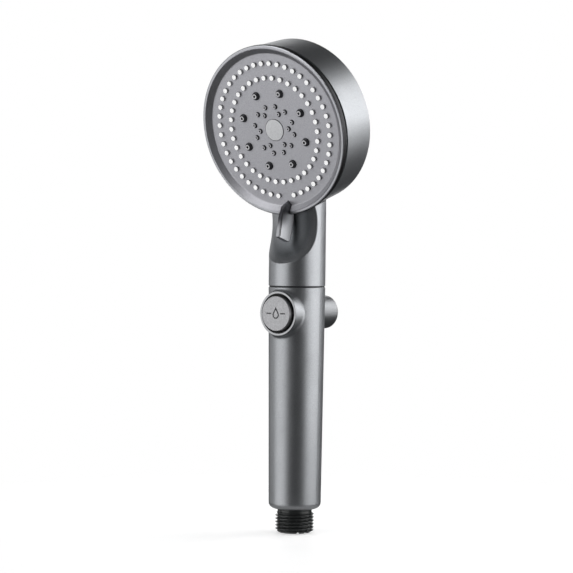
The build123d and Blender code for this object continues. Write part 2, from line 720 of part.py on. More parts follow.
with BuildPart() as nozzle_mat:
    ring(face, MAT_BACK_H, MAT_TOP_H, 40.4, 25.0)
    for places in (place_outer_nozzles, place_inner_nozzles):
        round_at(places, face, MAT_TOP_H, FLOOR_H, NOZZLE_BASE_R, NOZZLE_BASE_R)
    for places in (place_outer_nozzles, place_inner_nozzles):
        round_at(places, face, FLOOR_H, 0, NOZZLE_BASE_R, NOZZLE_TIP_R)
    for places in (place_outer_nozzles, place_inner_nozzles):
        round_at(places, face, MAT_BACK_H, 0, NOZZLE_BORE_R, NOZZLE_BORE_R, Mode.SUBTRACT)
    round_at(place_face_screws, face, MAT_BACK_H, MAT_TOP_H, 2.4, 2.4, Mode.SUBTRACT)
    cut_notch()
finish(nozzle_mat, "nozzle_mat")

with BuildPart() as massage_insert:
    ring(face, MAT_BACK_H, MAT_TOP_H, 24.3, 17.0)
    round_at(place_jets, face, MAT_TOP_H, FLOOR_H, JET_BASE_R, JET_BASE_R)
    round_at(place_jets, face, FLOOR_H, JET_TIP_H, JET_BASE_R, JET_TIP_R)
    round_at(place_jets, face, MAT_BACK_H, JET_TIP_H, JET_BORE_R, JET_BORE_R, Mode.SUBTRACT)
finish(massage_insert, "massage_insert")

with BuildPart() as mist_insert:
    ring(face, MAT_BACK_H, MAT_TOP_H, 15.9, 6.6)
    for places in (place_inner_mist, place_outer_mist):
        round_at(places, face, MAT_TOP_H, FLOOR_H, MIST_BASE_R, MIST_BASE_R)
    for places in (place_inner_mist, place_outer_mist):
        round_at(places, face, FLOOR_H, MIST_TIP_H, MIST_BASE_R, MIST_TIP_R)
    for places in (place_inner_mist, place_outer_mist):
        round_at(places, face, MAT_BACK_H, MIST_TIP_H, MIST_BORE_R, MIST_BORE_R, Mode.SUBTRACT)
finish(mist_insert, "mist_insert")

with BuildPart() as centre_cap:
    disc(face, FLOOR_H - 0.7, FLOOR_H + 0.25, CAP_R)
    fillet(centre_cap.edges().filter_by(GeomType.CIRCLE).sort_by(Axis(face_centre, spray_way))[-1], 0.2)
    ring(face, -2.9, FLOOR_H - 0.7, 4.2, 3.3)
finish(centre_cap, "centre_cap")

with BuildPart() as manifold_plate:
    disc(face, MANIFOLD_BACK_H, MANIFOLD_FRONT_H, MANIFOLD_R)
    # walls that part the water for the mat, the jets and the mist nozzles
    wall_top_h = MAT_BACK_H - 0.05
    ring(face, MANIFOLD_FRONT_H, wall_top_h, MANIFOLD_R, MANIFOLD_R - 1.0)
    with BuildSketch(face.offset(MANIFOLD_FRONT_H)):
        for wall_r in (25.2, 16.8):
            Circle(wall_r)
            Circle(wall_r - 0.9, mode=Mode.SUBTRACT)
    extrude(amount=wall_top_h - MANIFOLD_FRONT_H)
    disc(face, MANIFOLD_FRONT_H, -6.9, 6.4)
    disc(face, MANIFOLD_BACK_H, -6.9, PIVOT_R + RUNNING_FIT, Mode.SUBTRACT)
    # ports behind each gallery, screw holes and detent pits
    round_at(place_ports, face, -11, -8, PORT_R, PORT_R, Mode.SUBTRACT)
    round_at(place_face_screws, face, -11, -8, 1.3, 1.3, Mode.SUBTRACT)
    with Locations(face.offset(MANIFOLD_BACK_H - 0.9).location):
        with PolarLocations(DETENT_RING_R, 5, 90 - 2 * PORT_STEP, 4 * PORT_STEP, endpoint=True):
            Sphere(1.6, mode=Mode.SUBTRACT)
finish(manifold_plate, "manifold_plate")

with BuildPart() as diverter_disc:
    ring(face, DIVERTER_BACK_H, MANIFOLD_BACK_H - 0.05, DIVERTER_R, PIVOT_R + RUNNING_FIT)
    round_at(place_ports, face, DIVERTER_BACK_H, MANIFOLD_BACK_H, PORT_R, PORT_R, Mode.SUBTRACT)
finish(diverter_disc, "diverter_disc")

with BuildPart() as face_screws:
    round_at(place_face_screws, face, -12.2, MANIFOLD_BACK_H - 0.05, 2.2, 2.2)
    round_at(place_face_screws, face, MANIFOLD_BACK_H - 0.05, -4.5, 0.9, 0.9)
    round_at(place_face_screws, face, -12.3, -11.4, 0.8, 0.8, Mode.SUBTRACT)
finish(face_screws, "face_screws")

# ---- lever --------------------------------------------------------------------------------

# side plane of the lever: x runs down the face from the head's axis, y is the height over it
lever_side = Plane(origin=face.origin, x_dir=-face.y_dir, z_dir=face.x_dir * -1)
lever_lean = radians(31)
lever_foot = lever_side.from_local_coords((47.2, 9.4, 0))
lever_run = lever_side.x_dir * cos(lever_lean) + lever_side.y_dir * sin(lever_lean)
# plane across the lever: x is across its thickness, and y runs from its front edge to its back
lever_cross = Plane(origin=lever_foot, x_dir=face.x_dir * -1, z_dir=lever_run)

blade_edges = []

with BuildPart() as selector_lever:
    # side outline: foot in the notch, ramp up from the floor, and the thumb blade
    with BuildSketch(lever_side.offset(-LEVER_HALF)) as lever_outline:
        with BuildLine():
            Spline((40.9, 4.5), (47.2, 9.4), (55.2, 14.1))
            Line((55.2, 14.1), (60.1, 6.9))
            Spline((60.1, 6.9), (54.3, 1.45), (47.6, -1.85))
            Polyline(
                (47.6, -1.85),
                (SKIRT_R, -1.85),
                (SKIRT_R, MAT_BACK_H + 0.05),
                (NOTCH_APEX_R + 0.2, MAT_BACK_H + 0.05),
                (NOTCH_APEX_R + 0.2, -1.3),
                (40.9, 4.5),
            )
        make_face()
        fillet(lever_outline.vertices().sort_by(Axis.X)[-2:], LEVER_TIP_R)
    extrude(amount=2 * LEVER_HALF)
    # pointed like the notch
    with BuildSketch(face.offset(MAT_BACK_H - 1)):
        with BuildLine():
            Polyline(
                (0, -NOTCH_APEX_R - 0.3),
                (LEVER_HALF, -NOTCH_SHOULDER_R - 0.2),
                (LEVER_HALF, -70),
                (-LEVER_HALF, -70),
                (-LEVER_HALF, -NOTCH_SHOULDER_R - 0.2),
                close=True,
            )
        make_face()
    extrude(amount=30, mode=Mode.INTERSECT)
    # thinner towards its front edge
    with BuildSketch(lever_cross):
        with BuildLine():
            Polyline(
                (-LEVER_FRONT_HALF, -2),
                (-LEVER_HALF, 9),
                (-LEVER_HALF, 22),
                (LEVER_HALF, 22),
                (LEVER_HALF, 9),
                (LEVER_FRONT_HALF, -2),
                close=True,
            )
        make_face()
    extrude(amount=40, both=True, mode=Mode.INTERSECT)
    # rounded along the front strip and across the blade's end
    for edge in selector_lever.edges():
        edge_at = lever_side.to_local_coords(edge.center())
        if edge_at.Y > LEVER_ROUNDED_H and abs(edge_at.Z) > LEVER_FRONT_HALF / 2:
            blade_edges.append(edge)
    fillet(blade_edges, LEVER_EDGE_R)
finish(selector_lever, "selector_lever")
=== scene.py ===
import json
import math

import bmesh
import bpy
from mathutils import Matrix, Vector


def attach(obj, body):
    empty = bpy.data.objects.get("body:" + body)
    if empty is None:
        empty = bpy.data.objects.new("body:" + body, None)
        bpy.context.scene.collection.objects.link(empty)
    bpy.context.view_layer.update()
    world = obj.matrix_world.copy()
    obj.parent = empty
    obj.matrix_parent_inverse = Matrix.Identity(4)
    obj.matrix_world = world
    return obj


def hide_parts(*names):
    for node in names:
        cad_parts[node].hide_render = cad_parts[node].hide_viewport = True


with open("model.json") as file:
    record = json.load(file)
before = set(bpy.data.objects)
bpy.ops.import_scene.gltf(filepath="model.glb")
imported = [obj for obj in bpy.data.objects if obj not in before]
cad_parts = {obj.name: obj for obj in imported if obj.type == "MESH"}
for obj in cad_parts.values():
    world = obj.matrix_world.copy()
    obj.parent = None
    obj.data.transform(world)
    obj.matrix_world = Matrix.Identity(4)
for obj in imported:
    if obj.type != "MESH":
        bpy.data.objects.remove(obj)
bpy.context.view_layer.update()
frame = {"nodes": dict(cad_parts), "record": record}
nodes = frame["nodes"]
MM = 0.001

# ---- shared frame of the head: the same values as the CAD part, in mm ------------------------

TILT = math.radians(15.65)
FACE_CENTRE = Vector((0, -22.82, 217.60))
SPRAY_WAY = Vector((0, -math.cos(TILT), -math.sin(TILT)))
HEAD_UP = Vector((0, -math.sin(TILT), math.cos(TILT)))
FACE_TURN = math.radians(2.5)
FACE_X = Vector((1, 0, 0)) * math.cos(FACE_TURN) + HEAD_UP * math.sin(FACE_TURN)
FACE_Y = HEAD_UP * math.cos(FACE_TURN) - Vector((1, 0, 0)) * math.sin(FACE_TURN)
VALVE_Z = 119.6


def frame_matrix(x_way, y_way, z_way, origin):
    """Matrix from a local frame, given by its three axes and its origin, to the frame they are in."""
    matrix = Matrix((x_way, y_way, z_way)).transposed().to_4x4()
    matrix.translation = origin
    return matrix


# x right, y up the face, z out of it
HEAD = frame_matrix(FACE_X, FACE_Y, SPRAY_WAY, FACE_CENTRE)
# x right, y up, z out of the front button
VALVE = frame_matrix(
    Vector((1, 0, 0)), Vector((0, 0, 1)), Vector((0, -1, 0)), Vector((0, 0, VALVE_Z))
)

# ---- node helpers ----------------------------------------------------------------------------

# sockets of a colour Mix node
MIX_FACTOR, MIX_FIRST, MIX_SECOND, MIX_RESULT = 0, 6, 7, 2


def new_material(name):
    material = bpy.data.materials.new(name)
    material.use_nodes = True
    tree = material.node_tree
    return material, tree, tree.nodes["Principled BSDF"]


def object_coords(tree):
    return tree.nodes.new("ShaderNodeTexCoord").outputs["Object"]


def noise(tree, coords, scale, detail=2.0, roughness=0.5):
    node = tree.nodes.new("ShaderNodeTexNoise")
    node.inputs["Scale"].default_value = scale
    node.inputs["Detail"].default_value = detail
    node.inputs["Roughness"].default_value = roughness
    tree.links.new(coords, node.inputs["Vector"])
    return node.outputs["Fac"]


def ramp(tree, value, low, high, low_colour, high_colour):
    node = tree.nodes.new("ShaderNodeValToRGB")
    for element, place, colour in zip(
        node.color_ramp.elements, (low, high), (low_colour, high_colour)
    ):
        element.position = place
        element.color = (*colour, 1)
    tree.links.new(value, node.inputs["Fac"])
    return node.outputs["Color"]


def map_range(tree, value, source=(0, 1), target=(0, 1), smooth=False):
    node = tree.nodes.new("ShaderNodeMapRange")
    if smooth:
        node.interpolation_type = "SMOOTHSTEP"
    for name, limit in zip(("From Min", "From Max", "To Min", "To Max"), (*source, *target)):
        node.inputs[name].default_value = limit
    tree.links.new(value, node.inputs["Value"])
    return node.outputs["Result"]


def vector_math(tree, operation, vector, constant=None):
    """One vector operation, with a constant as its second input if it has one."""
    node = tree.nodes.new("ShaderNodeVectorMath")
    node.operation = operation
    tree.links.new(vector, node.inputs[0])
    if constant is not None:
        node.inputs[1].default_value = constant
    return node.outputs["Value" if operation in ("LENGTH", "DOT_PRODUCT") else "Vector"]


def number_math(tree, operation, first, second):
    node = tree.nodes.new("ShaderNodeMath")
    node.operation = operation
    tree.links.new(first, node.inputs[0])
    tree.links.new(second, node.inputs[1])
    return node.outputs[0]


def bump(tree, bsdf, height, strength, distance):
    node = tree.nodes.new("ShaderNodeBump")
    node.inputs["Strength"].default_value = strength
    node.inputs["Distance"].default_value = distance
    tree.links.new(height, node.inputs["Height"])
    tree.links.new(node.outputs["Normal"], bsdf.inputs["Normal"])


# ---- finishes --------------------------------------------------------------------------------

GRAIN_DETAIL = 3.0
GRAIN_ROUGHNESS = 0.65
GRAIN_RAMP = (0.3, 0.7)
CLOUD_SCALE = 60.0
BUMP_DISTANCE = 0.05 * MM


def grained(name, colour, spark, metallic, rough, grain=3500.0, bumps=0.12, rough_spread=0.06):
    """A finish with fine grain: spark is how far the grain lightens and darkens the colour."""
    material, tree, bsdf = new_material(name)
    coords = object_coords(tree)
    fine = noise(tree, coords, grain, GRAIN_DETAIL, GRAIN_ROUGHNESS)
    dark = tuple(c * (1 - spark) for c in colour)
    light = tuple(min(1.0, c * (1 + spark)) for c in colour)
    tree.links.new(ramp(tree, fine, *GRAIN_RAMP, dark, light), bsdf.inputs["Base Color"])
    cloud = noise(tree, coords, CLOUD_SCALE)
    roughness = map_range(tree, cloud, target=(rough - rough_spread, rough + rough_spread))
    tree.links.new(roughness, bsdf.inputs["Roughness"])
    bump(tree, bsdf, fine, bumps, BUMP_DISTANCE)
    bsdf.inputs["Metallic"].default_value = metallic
    return material


def bsdf_of(material):
    return material.node_tree.nodes["Principled BSDF"]


# colour, spark, metallic, roughness, then grain scale, bump strength, spread of the roughness
PAINT = ((0.36, 0.37, 0.385), 0.24, 1.0, 0.44)
FINISHES = {
    "gunmetal": PAINT,
    "silver": ((0.46, 0.465, 0.475), 0.18, 0.85, 0.42, 2600.0, 0.2),
    "button_silver": ((0.35, 0.35, 0.36), 0.3, 0.9, 0.46, 2600.0, 0.25),
    "collar_metal": ((0.34, 0.345, 0.355), 0.08, 1.0, 0.40, 3000.0, 0.05),
    "face_grey": ((0.345, 0.345, 0.368), 0.22, 0.8, 0.48, 3200.0, 0.12, 0.015),
    "silicone": ((0.95, 0.95, 0.95), 0.01, 0.0, 0.5, 3000.0, 0.0),
    # painted shade: the nozzles' sides are a grey copy of the white silicone
    "silicone_side_shade": ((0.36, 0.36, 0.38), 0.03, 0.0, 0.5, 3000.0, 0.0),
    "dark_jet": ((0.06, 0.061, 0.067), 0.1, 0.35, 0.26, 3000.0, 0.03),
    # painted highlights: the light tips of the massage jets and the mist nozzles
    "jet_tip_highlight": ((0.62, 0.62, 0.64), 0.05, 0.3, 0.35, 3000.0, 0.03),
    "mist_tip_highlight": ((0.5, 0.5, 0.52), 0.05, 0.6, 0.42, 3000.0, 0.03),
    # painted shade: the knob's paint is a darker copy of the handle's gunmetal
    "knob_shaded_paint": ((0.27, 0.275, 0.285), 0.2, 1.0, 0.44),
    "engraved": ((0.03, 0.031, 0.034), 0.1, 0.0, 0.5, 2500.0, 0.05),
    "black_gloss": ((0.02, 0.022, 0.022), 0.15, 0.1, 0.24, 1500.0, 0.06),
    "black_matte": ((0.012, 0.012, 0.013), 0.1, 0.0, 0.55, 2500.0, 0.1),
    "rubber": ((0.01, 0.01, 0.011), 0.1, 0.0, 0.6, 2000.0, 0.1),
    "bright": ((0.72, 0.72, 0.73), 0.03, 1.0, 0.2, 2000.0, 0.02),
    "steel": ((0.55, 0.55, 0.56), 0.06, 1.0, 0.3, 2500.0, 0.05),
    "brass": ((0.72, 0.53, 0.27), 0.06, 1.0, 0.32, 2500.0, 0.05),
    "inner_white": ((0.78, 0.78, 0.76), 0.02, 0.0, 0.4, 2500.0, 0.03),
}
# the silicone glows a little, so that its tips read as white
SILICONE_GLOW = 0.36

finish = {name: grained(name, *values) for name, values in FINISHES.items()}
silicone_bsdf = bsdf_of(finish["silicone"])
silicone_bsdf.inputs["Emission Color"].default_value = (1, 1, 1, 1)
silicone_bsdf.inputs["Emission Strength"].default_value = SILICONE_GLOW

SLOT_FINISHES = {
    "gunmetal_paint": "gunmetal",
    "silver_paint": "silver",
    "bright_trim": "bright",
    "face_grey": "face_grey",
    "white_silicone": "silicone",
    "dark_grey": "dark_jet",
    "black_gloss": "black_gloss",
    "black_plastic": "black_matte",
    "black_rubber": "rubber",
    "white_plastic": "inner_white",
    "steel": "steel",
    "brass": "brass",
}

# ---- finishes that change over a node --------------------------------------------------------


def mix_base(material, factor, second, blend_type="MIX"):
    """Mix the base colour with a second one. Each of factor and second is a socket or a value."""
    tree, bsdf = material.node_tree, bsdf_of(material)
    node = tree.nodes.new("ShaderNodeMix")
    node.data_type = "RGBA"
    node.blend_type = blend_type
    for index, value in ((MIX_FACTOR, factor), (MIX_SECOND, second)):
        if isinstance(value, bpy.types.NodeSocket):
            tree.links.new(value, node.inputs[index])
        else:
            node.inputs[index].default_value = value
    tree.links.new(bsdf.inputs["Base Color"].links[0].from_socket, node.inputs[MIX_FIRST])
    tree.links.new(node.outputs[MIX_RESULT], bsdf.inputs["Base Color"])
    return material


def tint(material, value, dark):
    """Multiply the colour by dark where the value is 0, and leave it where the value is 1."""
    shade = ramp(material.node_tree, value, 0.0, 1.0, dark, (1, 1, 1))
    return mix_base(material, 1.0, shade, "MULTIPLY")


def offset_coords(tree, centre, scale=(1, 1, 1)):
    """Object coordinates measured from a centre in mm, then scaled along each axis."""
    moved = vector_math(tree, "ADD", object_coords(tree), tuple(-Vector(centre) * MM))
    return vector_math(tree, "MULTIPLY", moved, scale)


def away(tree, centre, near, far, scale=(1, 1, 1)):
    """0 to 1 as the distance from a centre grows from near to far, all in mm."""
    length = vector_math(tree, "LENGTH", offset_coords(tree, centre, scale))
    return map_range(tree, length, (near * MM, far * MM), smooth=True)


# The shade in these finishes is painted in to match the photograph's light, so it is the same from
# every side. A pair of numbers is the distance at which a mask starts and ends, in mm.

# painted shade, in the thumb scoop and on the drum's front edge
SCOOP_SHADE = (0.42, 0.43, 0.44)
# distances from the handle's axis: the thumb scoop lies inside the grip's radius
SCOOP_RADII = (11.5, 15.1)
# distances from this height: where the scoop ends above it, and where its upper part begins
SCOOP_Z = 146
ABOVE_SCOOP = (30.0, 42.0)
SCOOP_UPPER = (6.0, 26.0)
# distances from this x: the scoop's upper part is left light on its left side
LEFT_FROM_X = 6
LEFT_SIDE = (7.0, 14.0)
# distances behind the face: the drum's front edge, which faces the gap behind the rim, gets painted
# shade
DRUM_EDGE = (3.45, 3.8)
# distances down from this height, just over the head, beyond which the neck isn't shaded
OVER_HEAD_Z = 270
BELOW_DRUM = (82.0, 94.0)


def scoop_painted_shade():
    """The handle's paint, with painted shade down in the thumb scoop and on the drum's front edge."""
    material = grained("head_shell_painted_shade", *PAINT)
    tree = material.node_tree
    depth = away(tree, (0, 0, 0), *SCOOP_RADII, (1, 1, 0))
    above = away(tree, (0, 0, SCOOP_Z), *ABOVE_SCOOP, (0, 0, 1))
    beside = away(tree, (LEFT_FROM_X, 0, 0), *LEFT_SIDE, (1, 0, 0))
    upper = away(tree, (0, 0, SCOOP_Z), *SCOOP_UPPER, (0, 0, 1))
    left_top = number_math(tree, "MULTIPLY", beside, upper)
    outside = number_math(tree, "MAXIMUM", depth, above)
    lightest = number_math(tree, "MAXIMUM", outside, left_top)
    setback = vector_math(tree, "DOT_PRODUCT", offset_coords(tree, FACE_CENTRE), -SPRAY_WAY)
    behind = map_range(tree, setback, tuple(distance * MM for distance in DRUM_EDGE))
    below = away(tree, (0, 0, OVER_HEAD_Z), *BELOW_DRUM, (0, 0, 1))
    front_edge = number_math(tree, "MAXIMUM", behind, below)
    return tint(material, number_math(tree, "MINIMUM", lightest, front_edge), SCOOP_SHADE)


# painted shade: the lever's paint is a darker copy of the handle's, and darker still at its root
LEVER_SHADED_PAINT = ((0.31, 0.315, 0.33), 0.2, 1.0, 0.40)
LEVER_ROOT_SHADE = (0.16, 0.16, 0.17)
# place of the lever's root: down the face from the head's axis, and height over the face
LEVER_ROOT_DOWN = 44
LEVER_ROOT_H = 8
LEVER_FADE = (2.0, 9.0)


def lever_painted_shade():
    """The lever's paint, a darker copy of the handle's, with painted shade at its root."""
    material = grained("lever_painted_shade", *LEVER_SHADED_PAINT)
    root = FACE_CENTRE - FACE_Y * LEVER_ROOT_DOWN + SPRAY_WAY * LEVER_ROOT_H
    reach = away(material.node_tree, root, *LEVER_FADE)
    return tint(material, reach, LEVER_ROOT_SHADE)


RIM_PAINT = ((0.36, 0.365, 0.385), 0.2, 1.0, 0.42)
# painted shade on the rim's outer side
RIM_SIDE_SHADE = (0.035, 0.035, 0.037, 1)
# distances from the head's axis
RIM_SIDE_R = (46.1, 46.3)


def rim_painted_shade():
    """The rim's paint, with painted shade on its outer side."""
    material = grained("face_ring_painted_shade", *RIM_PAINT)
    tree = material.node_tree
    offset = vector_math(tree, "SUBTRACT", object_coords(tree), FACE_CENTRE * MM)
    across = vector_math(tree, "CROSS_PRODUCT", offset, SPRAY_WAY)
    radius = vector_math(tree, "LENGTH", across)
    reach = map_range(tree, radius, tuple(r * MM for r in RIM_SIDE_R))
    return mix_base(material, reach, RIM_SIDE_SHADE)


# finishes of single nodes; those of the head shell, lever, rim and knob carry painted shade
node_finishes_and_shade = {
    "head_shell": scoop_painted_shade(),
    "collar_trim": finish["collar_metal"],
    "flow_button": finish["knob_shaded_paint"],
    "face_ring": rim_painted_shade(),
    "selector_lever": lever_painted_shade(),
}
node_slots = {s["node"]: s["material_slot"] for s in frame["record"]["subparts"]}
for node_name, node in nodes.items():
    slot_finish = finish[SLOT_FINISHES[node_slots[node_name]]]
    node.data.materials.clear()
    node.data.materials.append(node_finishes_and_shade.get(node_name, slot_finish))

# ---- mesh helpers: millimetres in, metres out ------------------------------------------------

MERGE_MM = 0.0005
ON_AXIS_R = 1e-6


def add_piece(name, bm, matrix, material, body, replaced=(), sharp=35):
    """Make an object from a mesh built in mm, smooth it, and tie it to its body."""
    bmesh.ops.remove_doubles(bm, verts=bm.verts[:], dist=MERGE_MM)
    bmesh.ops.recalc_face_normals(bm, faces=bm.faces[:])
    bm.transform(Matrix.Scale(MM, 4) @ matrix)
    mesh = bpy.data.meshes.new(name)
    bm.to_mesh(mesh)
    bm.free()
    mesh.materials.append(material)
    piece = bpy.data.objects.new(name, mesh)
    bpy.context.scene.collection.objects.link(piece)
    mesh.shade_smooth()
    mesh.set_sharp_from_angle(angle=math.radians(sharp))
    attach(piece, body)
    if replaced:
        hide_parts(*replaced)
    return piece


def circle(radius, height, segments):
    angles = (2 * math.pi * i / segments for i in range(segments))
    return [(radius * math.cos(a), radius * math.sin(a), height) for a in angles]


def lathe(bm, profile, segments, matrix=None):
    """Turn a profile of (radius, height) points round z. A point at radius 0 closes the end."""
    rings = []
    for radius, height in profile:
        places = [(0, 0, height)] if radius < ON_AXIS_R else circle(radius, height, segments)
        rings.append([bm.verts.new(place) for place in places])
    for low, high in zip(rings, rings[1:]):
        for i in range(segments):
            j = (i + 1) % segments
            if len(low) == 1:
                bm.faces.new((low[0], high[j], high[i]))
            elif len(high) == 1:
                bm.faces.new((low[i], low[j], high[0]))
            else:
                bm.faces.new((low[i], low[j], high[j], high[i]))
    made = [vert for ring in rings for vert in ring]
    if matrix is not None:
        bmesh.ops.transform(bm, matrix=matrix, verts=made)
    return made


def arc_points(centre, radius, start, end, steps):
    """Points of an arc in a profile, with angles in degrees."""
    points = []
    for i in range(steps + 1):
        a = math.radians(start + (end - start) * i / steps)
        points.append((centre[0] + radius * math.cos(a), centre[1] + radius * math.sin(a)))
    return points


def clamped(value):
    return min(1.0, max(0.0, value))


def polar(radius, count, start, step=None):
    """Places on a circle, with angles in degrees: evenly round it unless a step is given."""
    step = 360 / count if step is None else step
    angles = (math.radians(start + i * step) for i in range(count))
    return [(radius * math.cos(a), radius * math.sin(a)) for a in angles]


# ---- spray nozzles: heights over the face, in mm ---------------------------------------------

FLOOR_H = -1.1
WEB_TOP_H = -2.75
WEB_BACK_H = -4.0
WEB_SEGMENTS = 96
ROOT_H = -3.4
BORE_EDGE_R = 0.12
# the outer ring has room for 44, and the one at the lever's notch is left out
OUTER_R, OUTER_ROOM = 36.24, 44
INNER_R, INNER_COUNT = 28.42, 34
JET_RING_R, JET_COUNT, FIRST_JET = 20.7, 8, 22.5
# radius, count and first angle
MIST_RINGS = ((9.5, 6, 0), (12.9, 12, 15))
# a jet is a broad cone, a step, and a small spout: edges have a centre and a radius
JET_BORE_R = 0.66
JET_BASE_R = 2.3
JET_TIP_H = 0.7
SPOUT_EDGE_AT, SPOUT_EDGE_R = (1.12, 0.5), 0.2
CONE_EDGE_AT, CONE_EDGE_R = (1.75, -0.35), 0.3


def nozzle_profile(base_r, tip_r, tip_h, bore_r, edge, foot=0.25, bore_top=0.35):
    """Section of one nozzle: up the bore, over the rounded tip, down the side to its foot."""
    slope = (base_r - tip_r) / (tip_h - FLOOR_H)
    points = [(bore_r, ROOT_H), (bore_r, tip_h - bore_top)]
    points += arc_points((bore_r + BORE_EDGE_R, tip_h - BORE_EDGE_R), BORE_EDGE_R, 180, 90, 3)
    points += arc_points((tip_r - edge, tip_h - edge), edge, 90, 5, 5)
    points += [(base_r - foot * slope, FLOOR_H + foot), (base_r, FLOOR_H)]
    points += [(base_r, ROOT_H), (bore_r, ROOT_H)]
    return points


def jet_profile(foot=0.1, bore_top=0.15):
    """Section of one massage jet, from its bore out to its foot."""
    edge_at = (JET_BORE_R + BORE_EDGE_R, JET_TIP_H - BORE_EDGE_R)
    points = [(JET_BORE_R, ROOT_H), (JET_BORE_R, JET_TIP_H - bore_top)]
    points += arc_points(edge_at, BORE_EDGE_R, 180, 90, 3)
    points += arc_points(SPOUT_EDGE_AT, SPOUT_EDGE_R, 90, 10, 4)
    points += arc_points(CONE_EDGE_AT, CONE_EDGE_R, 80, 20, 4)
    points += [(JET_BASE_R - 0.8 * foot, FLOOR_H + foot), (JET_BASE_R, FLOOR_H - 0.5 * foot)]
    points += [(JET_BASE_R, ROOT_H), (JET_BORE_R, ROOT_H)]
    return points


def nozzle_field(name, places, profile, segments, web, finishes, tip_from, node):
    """Nozzles on the web that backs them.

    web: inner and outer radius. finishes: of the sides and of the tips. tip_from: the lowest
    height and the least distance from the nozzle's axis at which a face belongs to the tip.
    """
    bm = bmesh.new()
    for x, y in places:
        lathe(bm, profile, segments, Matrix.Translation((x, y, 0)))
    inner, outer = web
    corners = [(inner, WEB_TOP_H), (outer, WEB_TOP_H), (outer, WEB_BACK_H), (inner, WEB_BACK_H)]
    lathe(bm, corners + corners[:1], WEB_SEGMENTS)
    tip_height, tip_radius = tip_from
    for face in bm.faces:
        at = face.calc_center_median()
        off_axis = min(math.hypot(at.x - x, at.y - y) for x, y in places)
        face.material_index = int(at.z > tip_height and off_axis > tip_radius)
    side, tip = (finish[key] for key in finishes)
    piece = add_piece(name, bm, HEAD, side, "spray_face", [node])
    piece.data.materials.append(tip)


outer_step = 360 / OUTER_ROOM
outer_places = polar(OUTER_R, OUTER_ROOM - 1, -90 + outer_step, outer_step)
nozzle_field(
    "silicone_nozzles",
    outer_places + polar(INNER_R, INNER_COUNT, -90),
    nozzle_profile(base_r=1.5, tip_r=1.28, tip_h=0.0, bore_r=0.1, edge=0.1),
    segments=28,
    web=(25.0, 38.4),
    # grey sides with painted shade, and glowing white tips
    finishes=("silicone_side_shade", "silicone"),
    tip_from=(-0.1, 0.0),
    node="nozzle_mat",
)
nozzle_field(
    "massage_jets",
    polar(JET_RING_R, JET_COUNT, FIRST_JET),
    jet_profile(),
    segments=32,
    web=(17.0, 24.3),
    # dark sides, and tips with a painted highlight
    finishes=("dark_jet", "jet_tip_highlight"),
    tip_from=(0.5, 0.7),
    node="massage_insert",
)
nozzle_field(
    "mist_nozzles",
    [place for ring in MIST_RINGS for place in polar(*ring)],
    nozzle_profile(base_r=1.45, tip_r=1.0, tip_h=-0.1, bore_r=0.42, edge=0.2),
    segments=24,
    web=(6.6, 15.9),
    # dark sides, and tips with a painted highlight
    finishes=("dark_jet", "mist_tip_highlight"),
    tip_from=(-0.3, 0.44),
    node="mist_insert",
)

# ---- painted shadow lines: dark strips on the lever's side faces -----------------------------

# places on the lever's side: down the face from the head's axis, and height over the face
SHADOW_LINE_PATH = (
    (43.6, 6.3), (45.4, 7.75), (47.6, 9.05), (50.0, 10.4), (52.4, 11.75), (54.3, 12.85),
    (54.9, 13.0),
)
SHADOW_LINE_WIDTH = 0.65
SHADOW_LINE_PROUD = 0.03
SHADOW_LINE_SUNK = 0.05
LEVER_LEAN = math.radians(31)
LEVER_FRONT_AT = (47.2, 9.4)
LEVER_FRONT_HALF = 1.1
LEVER_BACK_HALF = 1.65
# depth behind LEVER_FRONT_AT at which LEVER_FRONT_HALF holds, and the length from it to the back
LEVER_THICKENS_FROM = -2
LEVER_THICKENS_OVER = 11


def lever_half(down, height):
    """Half of the lever's thickness, which grows from its front edge to its back."""
    along, over = down - LEVER_FRONT_AT[0], height - LEVER_FRONT_AT[1]
    depth = along * math.sin(LEVER_LEAN) - over * math.cos(LEVER_LEAN)
    growth = (LEVER_BACK_HALF - LEVER_FRONT_HALF) / LEVER_THICKENS_OVER
    return LEVER_FRONT_HALF + (depth - LEVER_THICKENS_FROM) * growth


def lever_shadow_lines():
    bm = bmesh.new()
    last = len(SHADOW_LINE_PATH) - 1
    for side in (-1, 1):
        strip = []
        for i, place in enumerate(SHADOW_LINE_PATH):
            before, after = SHADOW_LINE_PATH[max(i - 1, 0)], SHADOW_LINE_PATH[min(i + 1, last)]
            along = (Vector(after) - Vector(before)).normalized()
            across = Vector((along.y, -along.x)) * SHADOW_LINE_WIDTH / 2
            row = []
            for down, height in (Vector(place) - across, Vector(place) + across):
                half = lever_half(down, height)
                for lift in (SHADOW_LINE_PROUD, -SHADOW_LINE_SUNK):
                    row.append(bm.verts.new((side * (half + lift), -down, height)))
            strip.append(row)
        for near, far in zip(strip, strip[1:]):
            for a, b in ((0, 2), (2, 3), (3, 1), (1, 0)):
                bm.faces.new((near[a], near[b], far[b], far[a]))
        for end in (strip[0], strip[-1]):
            bm.faces.new((end[0], end[2], end[3], end[1]))
    add_piece("lever_shadow_lines", bm, HEAD, finish["rubber"], "spray_face")


lever_shadow_lines()

# ---- stop button with an engraved drop between two bars --------------------------------------

BUTTON_R = 9.5
BUTTON_FRONT = 19.0
BUTTON_BACK = 13.7
BUTTON_EDGE = 0.5
BUTTON_WALL = 1.3
BUTTON_SKIN_BACK = 17.2
STEM_R = 4.2
STEM_END = 13.2
STEM_BORE_R = 2.62
STEM_BORE_END = 17.0
BUTTON_SEGMENTS = 240
BUTTON_ROWS = 84
# points this near to the front are on it
ON_FRONT = 0.001
# the engraved finish stays this far inside the flat front's edge
ENGRAVED_MARGIN = 0.5
ENGRAVED_DEPTH = 0.12
ENGRAVED_SLOPE = 0.16
